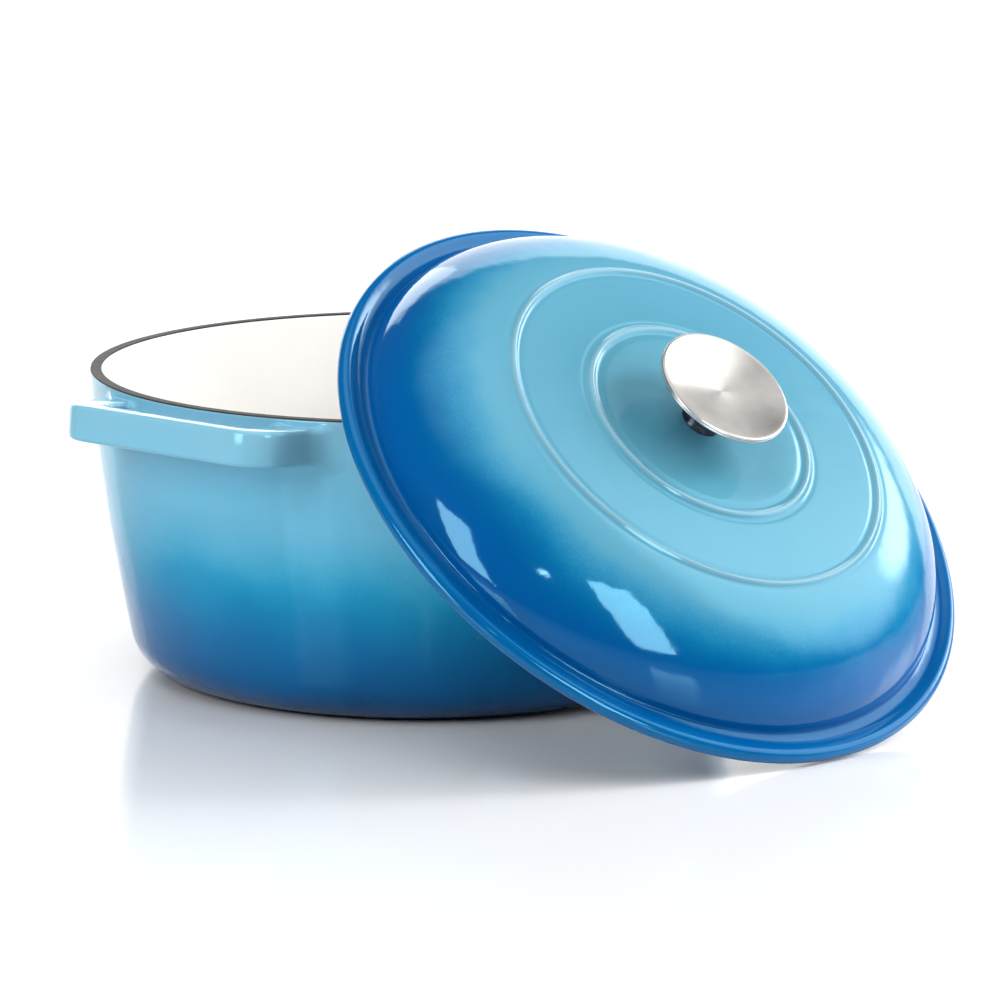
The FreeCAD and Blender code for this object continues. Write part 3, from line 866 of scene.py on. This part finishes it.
def plated_steel():
    """Screw and washers, by the node's own place because CAD meshes have no stored vectors."""
    paint = Paint("plated_steel")
    vector = paint.nodes.new("ShaderNodeTexCoord").outputs["Object"]
    grain = paint.noise(vector, scale=900.0, detail=4.0)
    paint.colour(paint.ramp(grain, ((0.3, (0.42, 0.41, 0.40)), (0.7, (0.62, 0.61, 0.59)))))
    paint.set(Metallic=1.0)
    paint.roughness(grain, low=0.22, span=0.2)
    paint.bump((grain, 0.2, 0.0001))
    return paint.material


def reflection_painted_stem():
    # Painted reflection and shade: the steel sleeve is painted near-black with pale specks, for the dark
    # lid and shade it mirrors and the small glints it catches
    paint = Paint("reflection_painted_stem")
    speck = paint.noise(paint.kept("own"), scale=700.0)
    paint.colour(paint.ramp(speck, ((0.35, (0.006, 0.009, 0.02)), (0.75, (0.05, 0.06, 0.08)))))
    paint.set(Metallic=0.6)
    paint.roughness(speck, low=0.12, span=0.2)
    paint.bump((speck, 0.2, 0.0001))
    return paint.material


def base_enamel():
    paint = Paint("base_enamel")
    vector = paint.kept("own")
    cloud = paint.noise(vector, scale=40.0, detail=4.0)
    paint.colour(paint.ramp(cloud, ((0.3, (0.002, 0.012, 0.035)), (0.7, (0.004, 0.022, 0.06)))))
    paint.roughness(cloud, low=0.12, span=0.2)
    paint.bump((paint.noise(vector, scale=200.0), 0.2, 0.0003))
    return paint.material


# ---------------------------------------------------------------- build

def dress(piece, material, body, node):
    """Gives a made piece its material, and says what it rides on and which CAD node it replaces."""
    piece.data.materials.append(material)
    point_outwards(piece)
    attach(piece, body)
    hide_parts(node)


def build_pot(blue, cream, iron, base):
    handle = handle_parts()
    outside = join_parts([turned(outside_profile()), handle, turned_half_way(handle)])
    for name, shape, material, slot_name, node in (
        ("pot_outside", outside, blue, "enamel_blue", "pot_exterior_enamel"),
        ("pot_inside", turned(inside_profile()), cream, "enamel_cream", "pot_interior_enamel"),
        ("pot_iron", turned(iron_profile()), iron, "iron", "pot_casting"),
        ("pot_base", turned(base_profile()), base, "enamel_base", "pot_base_enamel"),
    ):
        dress(make_object(name, *shape), material, "pot", node)


def build_lid(blue, cream, iron, steel, stem):
    frame_of_lid = lid_frame()
    for name, shape, material, slot_name, node in (
        ("lid_outside", turned(lid_outside_profile()), blue, "enamel_blue", "lid_exterior_enamel"),
        ("lid_iron", turned(lid_iron_profile()), iron, "iron", "lid_casting"),
        ("lid_inside", lid_inside_parts(), cream, "enamel_cream", "lid_interior_enamel"),
        ("knob_disc", turned(disc_profile()), steel, "steel", "knob_cap"),
        ("knob_sleeve", turned(stem_profile(), STEM_TURNS), stem, "stem", "knob_stem"),
    ):
        dress(make_object(name, *shape, frame_of_lid), material, "lid", node)


def finish_fasteners(nodes, steel):
    """The small metal parts keep their CAD meshes and get a material."""
    for name in ("knob_flat_washer", "knob_lock_washer", "knob_screw"):
        fastener = nodes[name]
        fastener.data.materials.clear()
        fastener.data.materials.append(steel)


# ---------------------------------------------------------------- studio, in metres

LIGHT_TARGET = Vector((-0.05, -0.06, 0.07))
# Soft lights: name, compass direction and elevation in degrees, distance, width, height, radiance and
# role. "shine" shows only in gloss, "shade" only lights the colour, and "both" does both.
LIGHTS = (
    ("key_right", -109.0, 19.0, 1.3, 0.34, 0.70, 13.0, "shine"),
    ("key_left", 178.0, 17.0, 1.3, 0.42, 0.70, 11.0, "shine"),
    ("side_left", 170.0, 26.0, 1.4, 0.80, 0.60, 7.0, "shade"),
    ("low_right", -62.0, 9.0, 1.4, 0.90, 0.50, 6.0, "shade"),
    ("shade_right", -38.0, 29.0, 1.4, 0.45, 0.40, 17.5, "shade"),
    ("rim_left", 62.0, 26.0, 1.4, 0.50, 0.60, 1.8, "shine"),
    ("fill_front", -165.0, 62.0, 1.5, 1.2, 1.0, 2.8, "shade"),
    ("small_catch", -138.0, 29.0, 1.6, 0.10, 0.07, 25.0, "both"),
)
# Soft glows in the surroundings: direction, cosine where each starts, cosine where it is full, strength
GLOWS = (
    ((0.760, 0.649, 0.0), 0.74, 0.79, 2.0),         # backdrop behind the pot
    ((0.0, 0.0, 1.0), 0.84, 0.99, 1.5),             # ceiling
    ((0.689, -0.539, 0.485), 0.857, 0.956, 2.8),    # wall on the right
    ((0.910, -0.177, 0.375), 0.974, 0.996, 6.5),    # bright edge of that wall
)
AMBIENT = 0.08
FLOOR_HALF = 9.0
LENS = 216.0
SENSOR = 36.0
CAMERA_REACH = 60.0
CAMERA_PLACE = (-1.7667, -1.5491, 0.5244)
CAMERA_AIM = Vector((0.0199, -0.0233, 0.06665))


def build_floor():
    side = FLOOR_HALF
    corners = [(-side, -side, 0), (side, -side, 0), (side, side, 0), (-side, side, 0)]
    mesh = bpy.data.meshes.new("floor")
    mesh.from_pydata(corners, [], [(0, 1, 2, 3)])
    floor = bpy.data.objects.new("floor", mesh)
    bpy.context.scene.collection.objects.link(floor)
    paint = Paint("floor")
    paint.set(Base_Color=(0.72, 0.72, 0.73, 1.0), Roughness=0.13, IOR=1.3)
    mesh.materials.append(paint.material)


def softbox(name, azimuth, elevation, distance, width, height, radiance, role):
    light = bpy.data.lights.new(name, "AREA")
    light.shape = "RECTANGLE"
    light.size = width
    light.size_y = height
    light.energy = radiance * math.pi * width * height
    holder = bpy.data.objects.new(name, light)
    holder.visible_camera = False
    holder.visible_glossy = role != "shade"
    holder.visible_diffuse = role != "shine"
    bpy.context.scene.collection.objects.link(holder)
    a = math.radians(azimuth)
    e = math.radians(elevation)
    way = Vector((math.cos(a) * math.cos(e), math.sin(a) * math.cos(e), math.sin(e)))
    holder.location = LIGHT_TARGET + way * distance
    holder.rotation_euler = (-way).to_track_quat("-Z", "Y").to_euler()


def build_world():
    world = bpy.data.worlds.new("studio")
    bpy.context.scene.world = world
    network = Network(world)
    way = network.nodes.new("ShaderNodeTexCoord").outputs["Generated"]
    total = AMBIENT
    for glow in GLOWS:
        total = network.math("ADD", network.glow(way, *glow), total)
    background = network.nodes["Background"]
    background.inputs["Color"].default_value = (1.0, 1.0, 1.0, 1.0)
    network.links.new(total, background.inputs["Strength"])


def build_camera():
    camera = bpy.data.cameras.new("camera")
    camera.lens = LENS
    camera.sensor_width = SENSOR
    camera.clip_end = CAMERA_REACH
    holder = bpy.data.objects.new("camera", camera)
    bpy.context.scene.collection.objects.link(holder)
    holder.location = CAMERA_PLACE
    holder.rotation_euler = (CAMERA_AIM - holder.location).to_track_quat("-Z", "Y").to_euler()
    bpy.context.scene.camera = holder


# ---------------------------------------------------------------- scene

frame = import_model()

pot_blue = shaded_enamel("pot_blue_enamel", True, 0.0, POT_HEIGHT, POT_SHADES)
lid_blue = shaded_enamel("lid_blue_enamel", False, LID_SHADES_FROM, LID_SHADES_TO, LID_SHADES, CREST_HIGHLIGHTS)
cream = cream_enamel()
iron = bare_iron()
build_pot(pot_blue, cream, iron, base_enamel())
build_lid(lid_blue, cream, iron, spun_steel(), reflection_painted_stem())
finish_fasteners(frame["nodes"], plated_steel())

build_floor()
build_world()
for light in LIGHTS:
    softbox(*light)
build_camera()
bpy.context.scene.view_settings.view_transform = "Standard"
